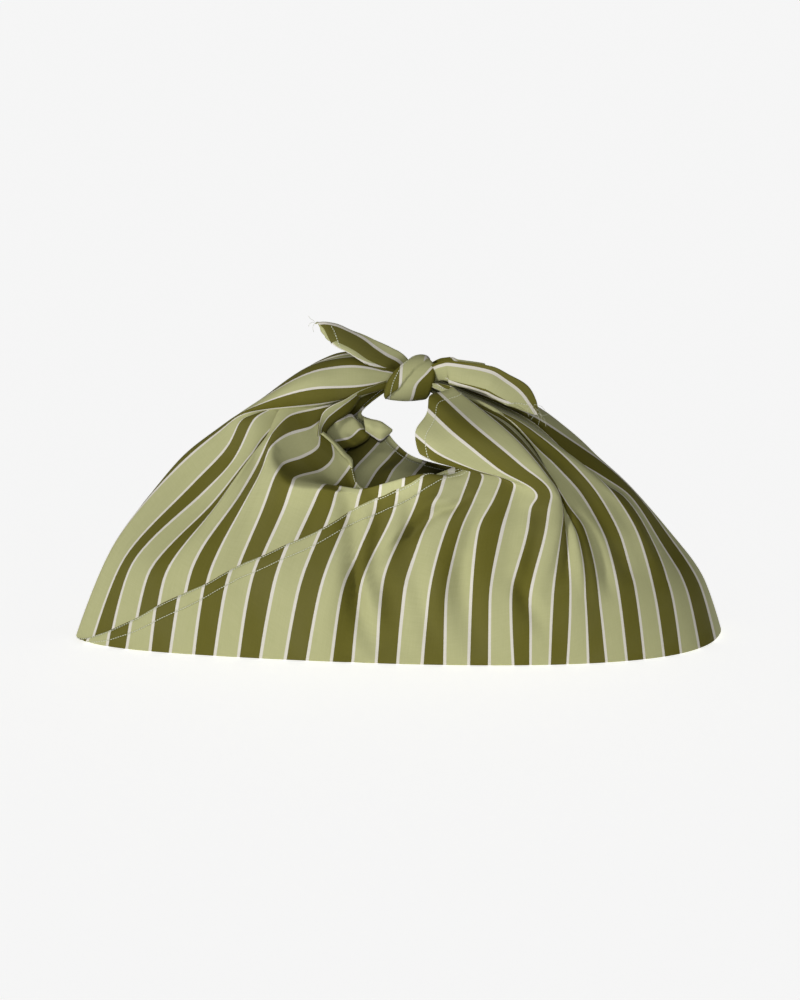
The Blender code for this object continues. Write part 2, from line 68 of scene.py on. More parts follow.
frontFolds = [Fold(*row[:3], row[3:]) for row in (
    (0, 0, -18, (190, -203, -5, 165), (235, -170, -4, 192), (290, -143, -8, 211),
     (385, -71, -20, 222), (430, -42, -17, 227), (470, -8, -8, 234)),
    (20, -6, -19, (185, -196, -13, 144), (235, -161, -11, 182), (280, -146, -9, 206),
     (385, -76, -10, 218), (430, -44, -8, 225), (470, -8, -3, 238)),
    (42, -9, -25, (180, -184, -24, 139), (230, -152, -23, 173), (278, -131, -15, 211),
     (375, -84, -2, 222), (430, -46, -3, 223), (470, -8, 0, 242)),
    (63, -10, -24, (180, -172, -33, 133), (230, -141, -29, 172), (272, -124, -22, 193),
     (375, -84, 2, 222), (430, -46, -2, 222), (470, -8, 1, 240)),
    (84, -10, -21, (180, -164, -42, 132), (235, -138, -34, 172), (264, -125, -25, 189),
     (300, -112, -12, 217), (400, -78, -4, 224), (470, -8, 0, 237)),
    (104, -11, -15, (195, -149, -48, 144), (235, -133, -38, 171), (264, -121, -33, 193),
     (320, -100, -20, 212), (410, -78, -14, 216), (470, -40, -8, 224)),
    (123, -11, -11, (195, -144, -55, 135), (236, -123, -50, 174), (252, -118, -46, 188),
     (300, -101, -33, 197), (390, -83, -23, 200), (470, -74, -16, 206)),
    (144, -11, -8, (195, -125, -63, 137), (228, -113, -58, 167), (244, -107, -46, 172),
     (300, -92, -36, 175), (390, -75, -26, 185), (470, -74, -20, 199)),
    (163, -11, -9, (205, -105, -67, 138), (224, -99, -73, 157), (238, -97, -62, 162),
     (300, -75, -38, 163), (400, -61, -25, 175), (470, -64, -20, 187)),
    (183, -10, -8, (212, -81, -73, 140), (226, -74, -79, 156), (240, -70, -72, 159),
     (300, -62, -50, 152), (380, -52, -32, 160), (453, -45, -24, 168)),
    (204, -9, -7, (219, -61, -79, 140), (231, -57, -81, 155), (243, -54, -74, 158),
     (290, -50, -60, 147), (360, -44, -48, 146), (432, -40, -40, 152)),
    (225, -8, -7, (225, -40, -80, 139), (236, -37, -83, 151), (246, -35, -80, 157),
     (285, -34, -66, 148), (350, -32, -56, 144), (411, -30, -50, 148)),
    (252, -7, -11, (240, -13, -84, 139), (252, -11, -83, 153), (260, -10, -79, 163),
     (290, -12, -68, 154), (330, -20, -58, 147), (384, -24, -50, 148)),
    (286, -6, -13, (262, 18, -80, 146), (278, 22, -80, 161), (286, 24, -75, 170),
     (300, 14, -66, 162), (325, 2, -58, 153), (350, -4, -51, 150)),
    (318, -4, -6, (252, 40, -90, 130), (280, 51, -83, 148), (294, 57, -78, 163),
     (303, 61, -74, 170), (311, 65, -70, 176), (318, 68, -66, 181)),
    (342, -1, -6, (252, 54, -94, 118), (290, 68, -84, 150), (308, 75, -77, 168),
     (318, 68, -74, 173), (330, 54, -74, 177), (342, 40, -74, 180)),
    (366, 1, -2, (255, 72, -96, 123), (292, 88, -84, 152), (306, 93, -78, 165),
     (328, 62, -76, 172), (350, 30, -82, 183), (366, 17, -78, 189)),
    (385, 2, -6, (248, 95, -98, 122), (278, 102, -87, 148), (290, 105, -83, 160),
     (326, 68, -84, 176), (357, 36, -82, 191), (385, 13, -66, 207)),
    (404, 4, -9, (248, 115, -99, 124), (266, 118, -91, 142), (276, 124, -90, 152),
     (315, 90, -86, 175), (359, 54, -82, 204), (404, 26, -50, 223)),
    (414, 3, -8, (249, 124, -98, 124), (266, 126, -90, 142), (276, 130, -88, 152),
     (315, 100, -88, 178), (362, 62, -82, 209), (414, 25, -42, 236)),
    (423, 2, -7, (250, 132, -97, 123), (266, 135, -90, 142), (276, 137, -87, 153),
     (315, 110, -87, 181), (365, 72, -78, 211), (423, 36, -38, 237)),
    (444, 0, -3, (256, 145, -92, 119), (276, 147, -84, 134), (289, 146, -81, 146),
     (325, 130, -84, 174), (372, 100, -75, 207), (444, 49, -31, 241)),
    (463, -1, 2, (256, 152, -91, 119), (280, 149, -78, 138), (292, 146, -72, 150),
     (325, 128, -67, 178), (385, 92, -59, 215), (462, 34, -18, 241)),
    (485, -1, 3, (250, 159, -87, 115), (278, 149, -72, 137), (290, 145, -66, 150),
     (325, 131, -61, 175), (385, 96, -56, 213), (470, 24, -12, 239)),
    (505, -1, 3, (255, 168, -80, 121), (282, 152, -77, 142), (310, 136, -69, 166),
     (350, 117, -61, 197), (400, 81, -44, 227), (470, 22, -8, 241)),
    (525, -1, 2, (238, 189, -77, 108), (285, 168, -64, 147), (322, 142, -65, 174),
     (345, 126, -64, 188), (385, 98, -55, 216), (470, 22, -6, 242)),
    (544, -1, 3, (236, 204, -69, 106), (281, 182, -56, 145), (320, 157, -58, 175),
     (350, 133, -59, 197), (388, 102, -53, 217), (470, 22, -4, 244)),
    (565, -1, 4, (230, 218, -60, 103), (281, 196, -46, 140), (312, 175, -47, 163),
     (345, 149, -47, 186), (392, 112, -41, 212), (470, 22, -2, 245)),
    (585, -1, 6, (215, 232, -50, 100), (283, 206, -39, 140), (308, 185, -36, 152),
     (345, 159, -35, 175), (398, 117, -30, 207), (470, 22, 0, 246)),
    (606, -1, 7, (195, 243, -36, 96), (275, 214, -28, 138), (308, 187, -32, 156),
     (342, 162, -34, 171), (400, 117, -21, 209), (470, 22, 2, 246)),
    (625, 0, 9, (175, 250, -20, 98), (250, 218, -14, 138), (285, 195, -16, 161),
     (325, 159, -22, 188), (388, 114, -28, 216), (470, 22, 4, 246)),
    (636, 0, 10, (150, 251, -10, 101), (225, 212, -6, 144), (268, 191, -6, 163),
     (312, 163, -8, 189), (390, 116, -8, 221), (470, 22, 6, 247)),
)]

backFolds = [Fold(*row[:3], row[3:]) for row in (
    (612, 0, 12, (190, 237, 14, 98), (265, 200, 14, 142), (303, 182, 13, 164),
     (340, 158, 12, 190), (400, 116, 14, 219), (470, 22, 9, 245)),
    (570, 0, 4, (215, 215, 48, 90), (265, 185, 44, 128), (300, 165, 40, 150),
     (340, 143, 36, 170), (400, 104, 32, 208), (470, 22, 10, 241)),
    (520, 0, 2, (235, 180, 80, 88), (275, 155, 70, 122), (305, 138, 60, 145),
     (345, 118, 50, 165), (410, 88, 38, 200), (470, 22, 9, 236)),
    (470, 0, 0, (245, 145, 98, 85), (285, 130, 84, 115), (315, 120, 72, 138),
     (350, 108, 58, 160), (410, 80, 36, 200), (468, 22, 6, 232)),
    (420, 0, 0, (245, 105, 106, 85), (285, 98, 94, 112), (310, 94, 82, 132),
     (340, 90, 68, 152), (385, 82, 52, 176), (420, 64, 34, 198)),
    (370, 0, 0, (245, 65, 108, 85), (280, 70, 96, 108), (300, 74, 86, 122),
     (325, 77, 76, 136), (348, 77, 64, 150), (370, 73, 52, 165)),
    (318, 0, 0, (240, 25, 108, 84), (262, 38, 96, 106), (278, 46, 84, 119),
     (292, 53, 72, 129), (306, 60, 58, 137), (318, 65, 46, 143)),
    (272, 0, 0, (235, -20, 106, 84), (270, -8, 94, 108), (293, -2, 82, 122),
     (318, 3, 70, 135), (342, 9, 54, 147), (366, 13, 40, 157)),
    (238, 0, 0, (230, -55, 103, 84), (275, -42, 90, 110), (305, -34, 78, 126),
     (335, -25, 64, 142), (370, -12, 46, 158), (401, -3, 30, 172)),
    (205, 0, 0, (225, -88, 98, 84), (272, -74, 84, 112), (310, -64, 72, 132),
     (350, -52, 58, 152), (395, -34, 34, 178), (431, -21, 17, 197)),
    (182, 0, 0, (220, -115, 90, 84), (268, -98, 76, 114), (310, -86, 64, 138),
     (360, -70, 48, 165), (410, -50, 26, 192), (454, -38, 9, 207)),
    (166, 0, 0, (215, -130, 84, 84), (265, -112, 70, 118), (310, -98, 56, 144),
     (365, -78, 40, 178), (420, -50, 18, 215), (470, -8, 3, 232)),
    (130, 0, -4, (205, -160, 68, 90), (255, -138, 54, 124), (305, -118, 42, 154),
     (370, -86, 28, 195), (425, -48, 16, 230), (470, 6, 5, 240)),
    (90, 0, -8, (195, -185, 42, 118), (245, -158, 32, 156), (295, -130, 20, 200),
     (380, -76, 12, 254), (430, -44, 11, 264), (470, 8, 4, 250)),
    (52, 0, -14, (180, -203, 18, 161), (235, -168, 16, 189), (280, -137, 3, 216),
     (385, -71, -7, 259), (430, -42, -9, 263), (470, 6, -5, 249)),
    (39, 0, -14, (183, -204, 13, 163), (235, -169, 13, 191), (282, -138, -2, 217),
     (385, -71, -17, 254), (430, -42, -17, 257), (470, 2, -9, 247)),
    (26, 0, -14, (185, -205, 8, 164), (235, -170, 9, 192), (285, -139, -7, 216),
     (385, -71, -24, 245), (430, -42, -22, 245), (470, -8, -12, 245)),
    (8, 0, -13, (190, -205, 1, 166), (235, -171, 2, 193), (290, -142, -10, 213),
     (385, -71, -25, 230), (430, -42, -22, 232), (470, -8, -11, 238)),
)]

# Soft creases. Each runs between two places on the cloth, given as distance round and height, and
# pushes the cloth in by its depth, or out where the depth is negative.
Crease = namedtuple("Crease", "aroundLow low aroundHigh high width depth")

creases = [Crease(*row) for row in (
    (458, 195, 468, 300, 7, 5), (482, 170, 478, 285, 9, -4), (432, 190, 440, 290, 9, -3),
    (252, 120, 262, 235, 13, 4), (228, 130, 236, 240, 10, -3), (296, 150, 286, 262, 11, 4),
    (326, 170, 340, 300, 12, -3), (398, 170, 388, 300, 11, 3), (284, 142, 204, 244, 12, 10),
    (310, 150, 240, 214, 14, -5), (72, 150, 70, 278, 6, 4.5), (108, 150, 108, 272, 7, 4.5),
    (89, 160, 87, 268, 6, -3.5), (128, 150, 126, 262, 7, -3.5), (182, 140, 176, 226, 9, -3),
    (352, 160, 358, 290, 9, 4), (418, 160, 414, 268, 8, 4), (500, 150, 494, 280, 8, -3.5),
    (518, 150, 508, 300, 6, 4), (268, 208, 334, 292, 7, 7), (252, 206, 320, 290, 10, -4),
    (150, 120, 120, 240, 13, 4), (96, 110, 70, 240, 12, -3.5), (308, 144, 238, 250, 17, 8),
    (334, 150, 276, 262, 10, 5), (370, 144, 348, 238, 11, 6), (438, 144, 400, 210, 8, 5),
    (60, 110, 34, 235, 9, 3), (540, 170, 520, 330, 12, 4), (580, 150, 560, 340, 12, -3.5),
    (610, 140, 596, 330, 11, 3), (1153, 150, 1123, 400, 16, 6), (1073, 180, 1083, 380, 14, -4),
    (1023, 200, 1043, 370, 14, 5), (873, 200, 853, 370, 14, 5), (803, 180, 818, 380, 16, -5),
    (743, 160, 763, 400, 16, 6), (683, 150, 703, 380, 12, -4), (1203, 150, 1183, 360, 12, -4),
)]


def smoothCurve(knots, values, places):  # a curve through the values that never swings past them
    knots, values = np.asarray(knots, float), np.asarray(values, float)
    steps = np.diff(knots)[:, None]
    slopes = np.diff(values, axis=0) / steps
    tangents = np.zeros_like(values)
    before, after = slopes[:-1], slopes[1:]
    weightBefore, weightAfter = 2.0 * steps[1:] + steps[:-1], steps[1:] + 2.0 * steps[:-1]
    sameWay = before * after > 0.0
    harmonic = (weightBefore + weightAfter) / (weightBefore / np.where(sameWay, before, 1.0)
                                               + weightAfter / np.where(sameWay, after, 1.0))
    tangents[1:-1] = np.where(sameWay, harmonic, 0.0)
    tangents[0], tangents[-1] = slopes[0], slopes[-1]
    span = np.clip(np.searchsorted(knots, places, side="right") - 1, 0, len(knots) - 2)
    width = (knots[span + 1] - knots[span])[:, None]
    t = (np.asarray(places, float)[:, None] - knots[span][:, None]) / width
    return (values[span] * (1 + 2 * t) * (1 - t) ** 2 + values[span + 1] * t * t * (3 - 2 * t)
            + tangents[span] * width * t * (1 - t) ** 2 + tangents[span + 1] * width * t * t * (t - 1))


def smoothStep(low, high, value):
    t = np.clip((value - low) / (high - low), 0.0, 1.0)
    return t * t * (3.0 - 2.0 * t)


def readAt(places, knots, field):  # a field's columns, read between its knots
    return np.stack([np.interp(places, knots, column) for column in field.T], axis=-1)


def lengthsAlong(line):  # how far along a line each of its points is
    return np.concatenate([[0.0], np.cumsum(np.linalg.norm(np.diff(line, axis=0), axis=1))])


def hemHeight(around):  # height of the cloth's edge at a distance round the bag
    thread = np.where(around < cut["flatWidth"], around, 2.0 * cut["flatWidth"] - around)
    return np.minimum(np.maximum(thread, cut["flatWidth"] - thread), cut["knotHeight"])


def foldLevels(fold, isFront):  # the fold's points from the bottom crease up: cloth height, x, y, z
    d = drape
    u = min(max(fold.thread / cut["flatWidth"], 0.0), 1.0)
    floorCloth = d["frontFloorCloth"] if isFront else d["backFloorCloth"]
    floorCloth *= math.sin(math.pi * u) ** d["floorClothPower"]
    u += fold.slip / cut["flatWidth"]
    x = -d["halfLength"] + 2.0 * d["halfLength"] * u + d["footDrift"] * math.sin(math.pi * u)
    arch = 4.0 * u * (1.0 - u)
    lens = arch ** d["lensPower"]
    middle = d["cornerY"] + d["cornerTurn"] * u
    frontY = middle - d["frontDepth"] * lens * (1.0 + d["frontSkew"] * (u - 0.5))
    backY = middle + d["backDepth"] * lens
    cornering = max(1.0 - arch - d["cornerLiftFrom"], 0.0) / (1.0 - d["cornerLiftFrom"])
    lift = d["cornerLift"] * cornering ** d["cornerLiftPower"]
    foot = (max(floorCloth, lift), x, frontY if isFront else backY, lift)
    waist = [(low + high) / 2.0 for low, high in zip(foot, fold.levels[0])]
    waist[1] += fold.lean
    waist[2] += (-1.0 if isFront else 1.0) * d["wallBulge"] * arch
    keel = (0.0, x, (frontY + backY) / 2.0, lift)
    return [keel, foot, waist, *fold.levels]


def drapedCloth():  # places on the cloth (round, height) and in space (x, y, z), in millimetres
    around = np.array([fold.thread for fold in frontFolds]
                      + [2.0 * cut["flatWidth"] - fold.thread for fold in backFolds], float)
    around[len(frontFolds) - 1] = cut["flatWidth"]
    net = np.array([foldLevels(fold, isFront) for folds, isFront in ((frontFolds, True), (backFolds, False))
                    for fold in folds])
    counts = drape["rowsPerLevel"]
    places = np.concatenate([np.linspace(level, level + 1, count, endpoint=False)
                             for level, count in enumerate(counts)] + [[len(counts)]])
    fine = []
    for levels in net:
        heights = smoothCurve(range(len(levels)), levels[:, :1], places)
        fine.append(np.hstack([heights, smoothCurve(levels[:, 0], levels[:, 1:], heights[:, 0])]))
    fine = np.array(fine)
    wrap, whole = drape["wrap"], 2.0 * cut["flatWidth"]
    knots = np.concatenate([around[-wrap:] - whole, around, around[:wrap] + whole])
    fine = np.concatenate([fine[-wrap:], fine, fine[:wrap]])
    columns = np.linspace(0.0, whole, drape["columns"], endpoint=False)
    grid = np.stack([smoothCurve(knots, fine[:, row], columns) for row in range(fine.shape[1])], axis=1)
    heights, points = grid[:, :, 0], grid[:, :, 1:]
    upper = smoothStep(*drape["hemLevels"], places)[None, :]
    heights += (hemHeight(columns) - heights[:, -1])[:, None] * upper
    return columns, heights, soften(points, smoothStep(*drape["softenLevels"], places))


def soften(points, amount):  # eases the sharpest creases above the wall, as cloth does
    amount = amount[None, :, None] * drape["softenWeight"]
    for _ in range(drape["softenPasses"]):
        beside = (np.roll(points, 1, axis=0) + np.roll(points, -1, axis=0)) / 2.0
        above = points.copy()
        above[:, 1:-1] = (points[:, 2:] + points[:, :-2]) / 2.0
        points = (1.0 - amount) * points + amount * (beside + above) / 2.0
    return points


def gridNormals(points):
    along = np.roll(points, -1, axis=0) - np.roll(points, 1, axis=0)
    normals = np.cross(along, np.gradient(points, axis=1))
    return normals / np.maximum(np.linalg.norm(normals, axis=2, keepdims=True), 1e-9)


def creaseDepth(crease, around, height):
    along = np.clip((height - crease.low) / (crease.high - crease.low), 0.0, 1.0)
    middle = crease.aroundLow + (crease.aroundHigh - crease.aroundLow) * along
    across = np.exp(-((around - middle) / crease.width) ** 2)
    return crease.depth * across * np.sin(math.pi * along) ** drape["creaseEnds"]


# The small pleats that gather each ear's back into the knot, in millimetres of cloth
gathers = {"pitch": 27.0, "depth": 2.4, "wander": 9.0, "wanderPitch": 61.0, "lean": 0.04,
           "from": 290.0, "full": 400.0, "fade": 440.0, "end": 468.0,
           "backStart": 690.0, "backEnd": 1215.0, "edge": 40.0, "hemFrom": 8.0, "hemFull": 60.0}


def gatherDepth(around, height):
    g = gathers
    amount = smoothStep(g["from"], g["full"], height) * (1.0 - smoothStep(g["fade"], g["end"], height))
    amount = amount * smoothStep(g["backStart"], g["backStart"] + g["edge"], around)
    amount = amount * (1.0 - smoothStep(g["backEnd"] - g["edge"], g["backEnd"], around))
    amount = amount * smoothStep(g["hemFrom"], g["hemFull"], hemHeight(around) - height)
    phase = around + g["wander"] * np.sin(around / g["wanderPitch"]) + g["lean"] * height
    return g["depth"] * amount * np.sin(2.0 * math.pi * phase / g["pitch"])


# The two loose tails. Each row is a line of the cloth, from the tip to the knot: its height above the
# bottom fold, then x, y and z where the cloth is folded over, then front, rise, cup and roll. front is how
# far the near side hangs below that fold, rise how far the far side stands above it, cup how far the near
# side bellies out, and roll its turn in degrees. What cloth is left at a row lies folded to and fro behind.
leftTail = (
    (636, -78, -9, 295, 3, 1, 0, 0), (628, -76, -11, 296, 12, 1, 1, -8),
    (620, -69, -12, 297, 19, 1, 2, -16), (608, -58, -13, 295, 25, 2, 3, -24),
    (595, -46, -14, 290, 27, 2, 3, -26), (580, -33, -14, 283, 27, 5, 3, -24),
    (568, -23, -13, 275, 25, 9, 3, -18), (555, -12, -10, 267, 21, 11, 3, -10),
    (540, -1, -5, 260, 17, 10, 2, 0), (528, 5, -1, 253, 13, 9, 2, 0), (516, 10, 2, 246, 9, 6, 1, 0),
)
rightTail = (
    (636, 126, -44, 217, 2, 1, 0, 0), (623, 119, -45, 228, 14, 9, 1, 0), (610, 111, -46, 239, 24, 12, 2, 0),
    (593, 97, -45, 250, 27, 9, 4, 0), (577, 83, -42, 258, 28, 7, 5, 0), (558, 65, -36, 261, 27, 5, 5, 0),
    (535, 45, -27, 262, 25, 4, 3, 0), (525, 36, -20, 259, 22, 4, 2, 0), (512, 24, -8, 251, 18, 4, 1, 0),
)
# Each tail: its rows, the distance of its middle round the bag, how far past that it is folded, and how deep
tails = ((leftTail, cut["flatWidth"], 9.5, 2.5), (rightTail, 0.0, 0.0, 0.6))
# nearTurns and farTurns: where the hidden layers turn back, as shares of front and rise
tail = {"rows": 60, "layerGap": 1.6, "nearTurns": (0.15, 0.92, 0.1), "farTurns": (0.85, -0.6, 0.8, -0.4),
        "leastHalf": 0.3, "firstPanel": 12, "panel": 5, "stitchIn": 8.0, "stitchFrom": 1.0, "stitchTo": 0.97}


def roundedPath(corners, rounds=2):  # cuts the corners of a folded line
    for _ in range(rounds):
        first, second = corners[:-1], corners[1:]
        cutCorners = np.stack([0.75 * first + 0.25 * second, 0.25 * first + 0.75 * second], axis=1)
        corners = np.concatenate([corners[:1], cutCorners.reshape(-1, 3)[1:-1], corners[-1:]])
    return corners


def foldedLine(corners, length):  # the folded line's points and their lengths along it, ended at the hem
    marked = np.column_stack([np.arange(len(corners)), np.array(corners, float)])
    smooth = roundedPath(marked)
    panels = [np.linspace(0.0, 1.0, tail["firstPanel"], endpoint=False)]
    panels += [np.linspace(panel, panel + 1.0, tail["panel"], endpoint=False)
               for panel in range(1, len(corners) - 1)]
    marks = np.concatenate(panels + [[len(corners) - 1.0]])
    line = readAt(marks, smooth[:, 0], smooth[:, 1:])
    reached = lengthsAlong(line)
    kept = np.minimum(reached, length)
    return readAt(kept, reached, line), kept


def tailGrid(rows, middle, foldAt, foldDepth):  # a tail's points and places, and its line of stitches
    table = np.array(rows, float)
    heights = np.linspace(table[0][0], table[-1][0], tail["rows"])
    values = smoothCurve(-table[:, 0], table[:, 1:], -heights)
    path = values[:, :3]
    depths = [-tail["layerGap"] * layer for layer in range(5)]
    tangents = np.gradient(path, axis=0)
    tangents /= np.linalg.norm(tangents, axis=1, keepdims=True)
    points, around, height, stitched = [], [], [], []
    for row, (level, spot, tangent) in enumerate(zip(heights, path, tangents)):
        front, rise, cup, roll = values[row, 3:]
        half = max(cut["flatWidth"] - level, tail["leastHalf"])
        fold = min(foldAt, half)
        facing = np.array([0.0, -1.0, 0.0])
        facing -= tangent * (facing @ tangent)
        facing /= np.linalg.norm(facing)
        down = np.cross(tangent, facing)
        down *= math.copysign(1.0, -down[2])
        angle = math.radians(roll)
        facing, down = (facing * math.cos(angle) + down * math.sin(angle),
                        down * math.cos(angle) - facing * math.sin(angle))
        near, nearLengths = foldedLine([(0.0, 0.0), (front, 0.0)] + [
            (turn * front, depths[layer]) for layer, turn in enumerate(tail["nearTurns"], 1)], half - fold)
        behind = depths[4] - foldDepth
        farTurns = zip(tail["farTurns"], (front, rise, front, rise), depths)
        far, farLengths = foldedLine([(0.0, 0.0), (-rise, -foldDepth)] + [
            (turn * reach, behind + depth) for turn, reach, depth in farTurns], half + fold)
        local = np.concatenate([far[:0:-1], near])
        offset = np.concatenate([-farLengths[:0:-1], nearLengths])
        bulge = np.clip(local[:, 0] / max(front, 1.0), 0.0, 1.0)
        local[:, 1] += cup * np.sin(math.pi * bulge)
        points.append(spot + local[:, :1] * down + local[:, 1:] * facing)
        around.append(middle + fold + offset)
        height.append(np.full(len(offset), level))
        seam = half - fold - tail["stitchIn"] * math.sqrt(2.0)
        if tail["stitchFrom"] < seam < tail["stitchTo"] * front:
            stitched.append(np.concatenate([readAt(seam, offset, points[-1]), facing]))
    points, around, height = np.array(points).transpose(1, 0, 2), np.array(around).T, np.array(height).T
    if table[0, 1] > 0.0:  # the right tail runs the other way, and faces outwards too
        points, around, height = points[::-1], around[::-1], height[::-1]
    return points, around, height, np.array(stitched)


# Folds of the left ear that show in the mouth. rounds: the places of three lines round the bag.
# Each row is the cloth's height, then x, y and z of three points across the fold, on those lines.
mouthFolds = (
    {"rounds": (120.0, 143.0, 162.0), "rows": (
        (396, -76, -24, 192, -73, -22, 188, -69, -16, 183),
        (408, -75, -23, 200, -73, -21, 197, -68, -15, 193),
        (424, -72, -22, 213, -68, -20, 208, -60, -14, 203),
        (438, -65, -22, 220, -58, -20, 217, -49, -13, 210),
        (452, -52, -22, 226, -47, -20, 225, -40, -13, 220),
        (468, -34, -21, 236, -31, -19, 236, -30, -13, 235),
        (480, -12, -14, 242, -10, -12, 242, -9, -8, 240))},
    {"rounds": (121.5, 144.2, 160.0), "rows": (
        (400, -77, -7, 198, -77, -6, 179, -75, -3, 168),
        (412, -58, -6, 204, -60, -8, 184, -56, -4, 174),
        (424, -46, -4, 209, -47, -8, 187, -43, -4, 177),
        (432, -41, -3, 204, -37, -6, 195, -30, -2, 184), (440, -35, -1, 198, -33, -2, 194, -27, 1, 188))},
    {"rounds": (165.5, 175.0, 185.5), "rows": (
        (330, -34, -3, 205, -33, -6, 199, -32, -4, 192),
        (340, -26, -4, 204, -26, -9, 196, -25, -5, 187),
        (350, -18, -4, 202, -18, -9, 193, -18, -5, 183),
        (357, -12, -4, 198, -12, -7, 193, -12, -4, 187), (363, -7, -3, 194, -7, -3, 193, -7, -3, 192))},
    {"rounds": (166.0, 172.0, 178.0), "rows": (
        (380, -73, -26, 196, -72, -28, 196, -71, -26, 197),
        (392, -64, -27, 188, -62, -30, 188, -60, -27, 188),
        (404, -54, -27, 176, -52, -30, 176, -50, -27, 177),
        (414, -47, -26, 168, -45, -28, 168, -44, -26, 169),
        (422, -45, -25, 159, -44, -26, 159, -44, -25, 160))},
)


def foldGrid(fold, steps=28, across=9):
    table = np.array(fold["rows"], float)
    levels = np.linspace(table[0, 0], table[-1, 0], steps)
    rounds = np.linspace(fold["rounds"][0], fold["rounds"][-1], across)
    lines = smoothCurve(table[:, 0], table[:, 1:], levels).reshape(steps, 3, 3)
    points = np.array([smoothCurve(fold["rounds"], line, rounds) for line in lines])
    around, height = np.repeat(rounds[:, None], steps, 1), np.repeat(levels[None], across, 0)
    return points.transpose(1, 0, 2), around, height


# The knot's band, one turn of cloth round the other ear, and two hidden turns under it. Each row is the
# angle round the band, 0 at the front and 90 at the top, then low and high, its edges in x, fold, where its
# near layer ends, and the x of its two white lines. Their own places on the cloth are lineA and lineB.
bandRows = (
    (-130, -12, 22, -16, -16, 8), (-80, -14, 26, -14, -10, 9), (-50, -15, 28, -12, -3, 11),
    (-10, -13, 31, 0, 0, 14), (30, -6, 33, 12, 1, 26), (60, 3, 32, 23, 2, 33), (90, 12, 28, 28, 3, 36),
    (140, 4, 26, 28, 0, 36), (185, -4, 22, 28, -6, 30), (230, -12, 22, -16, -16, 8),
)
band = {"z": 242.0, "y": -3.0, "radius": 19.0, "depth": 15.0, "grid": (80, 40), "hiddenGrid": (24, 12),
        "turns": (0.0, 3.0, 6.0), "gap": 1.8, "lineA": 625.35, "lineB": 646.65, "edgeRound": 3.0,
        "belly": 2.0, "height": 500.0, "heightPerDegree": 0.25}


def bandGrid(inner):  # one turn of the band, which lies deeper by inner
    table = np.array(bandRows, float)
    rows, columns = band["hiddenGrid"] if inner else band["grid"]
    turns = np.linspace(table[0][0], table[-1][0], rows)
    values = smoothCurve(table[:, 0], table[:, 1:], turns)
    share = np.linspace(0.0, 1.0, columns)
    points, around, height = [], [], []
    for degrees, (low, high, fold, lineA, lineB) in zip(turns, values):
        x = low + (high - low) * share
        isNear = x < fold
        edge = np.minimum(x - low, high - x)
        drop = band["edgeRound"] * np.clip(1.0 - edge / band["edgeRound"], 0.0, 1.0) ** 2
        lift = np.where(isNear, band["gap"], 0.0) - drop + band["belly"] * np.sin(math.pi * share) - inner
        angle = math.radians(degrees)
        y = band["y"] - (band["depth"] + lift) * math.cos(angle)
        z = band["z"] + (band["radius"] + lift) * math.sin(angle)
        points.append(np.stack([x, y, z], axis=1))
        around.append(np.where(isNear, band["lineA"] + (x - lineA), band["lineB"] + (x - lineB)))
        height.append(np.full(columns, band["height"] + band["heightPerDegree"] * degrees))
    return np.array(points).transpose(1, 0, 2), np.array(around).T, np.array(height).T


def clothAt(grid, around, height):  # points and normals of the draped cloth at places on it
    columns, heights, points, normals = grid
    spacing = columns[1] - columns[0]
    spots = []
    for field in (points, normals):
        read = []
        for place, level in zip(around, height):
            low, share = int(place // spacing) % len(columns), (place / spacing) % 1.0
            high = (low + 1) % len(columns)
            read.append(readAt(level, heights[low], field[low]) * (1.0 - share)
                        + readAt(level, heights[high], field[high]) * share)
        spots.append(np.array(read))
    return spots[0], spots[1] / np.linalg.norm(spots[1], axis=1, keepdims=True)


# Strips of second cloth. The start and end are places on the cloth along the strip's upper edge. across: the
# way round that the strip lies from there. raised: how far it stands out from the first cloth.
Strip = namedtuple("Strip", "startRound startHeight endRound endHeight across width raised")

flat, half, top, start = cut["flatWidth"], cut["flatWidth"] / 2.0, cut["knotHeight"], cut["seamStart"]
seam, hem = (cut["seamWidth"], cut["seamRaised"]), (cut["hemWidth"], cut["hemRaised"])
seamStrips, hemStrips = [], []
for side in (0.0, flat):  # the front, then the back
    seamStrips.append(Strip(side + start, start, side + half, half, 1, *seam))
    hemStrips.append(Strip(side + flat - top, top, side + half, half, -1, *hem))
    hemStrips.append(Strip(side + half, half, side + top, top, 1, *hem))


def stripPlace(strip, along, across):  # along the strip from 0 to 1, and across it in millimetres
    over = across / math.sqrt(2.0)
    around = strip.startRound + (strip.endRound - strip.startRound) * along + strip.across * over
    height = strip.startHeight + (strip.endHeight - strip.startHeight) * along - over
    return around, height


def stripGrid(grid, strip, steps=110, rows=5):
    along, over = np.linspace(0.0, 1.0, steps)[:, None], np.linspace(0.0, 1.0, rows)[None, :]
    around, height = stripPlace(strip, along, strip.width * over)
    spots, normals = clothAt(grid, around.ravel(), height.ravel())
    edge = np.abs(np.linspace(-1.0, 1.0, rows))[None, :] ** 4
    out = strip.raised * (1.0 - cut["edgeDrop"] * edge) * np.ones_like(around)
    spots = (spots + normals * out.reshape(-1, 1)).reshape(steps, rows, 3)
    if strip.raised > 0.0:  # the strip faces outwards
        return spots[:, ::-1], around[:, ::-1], height[:, ::-1]
    return spots, around, height


def addObject(name, data):
    obj = bpy.data.objects.new(name, data)
    bpy.context.scene.collection.objects.link(obj)
    return obj


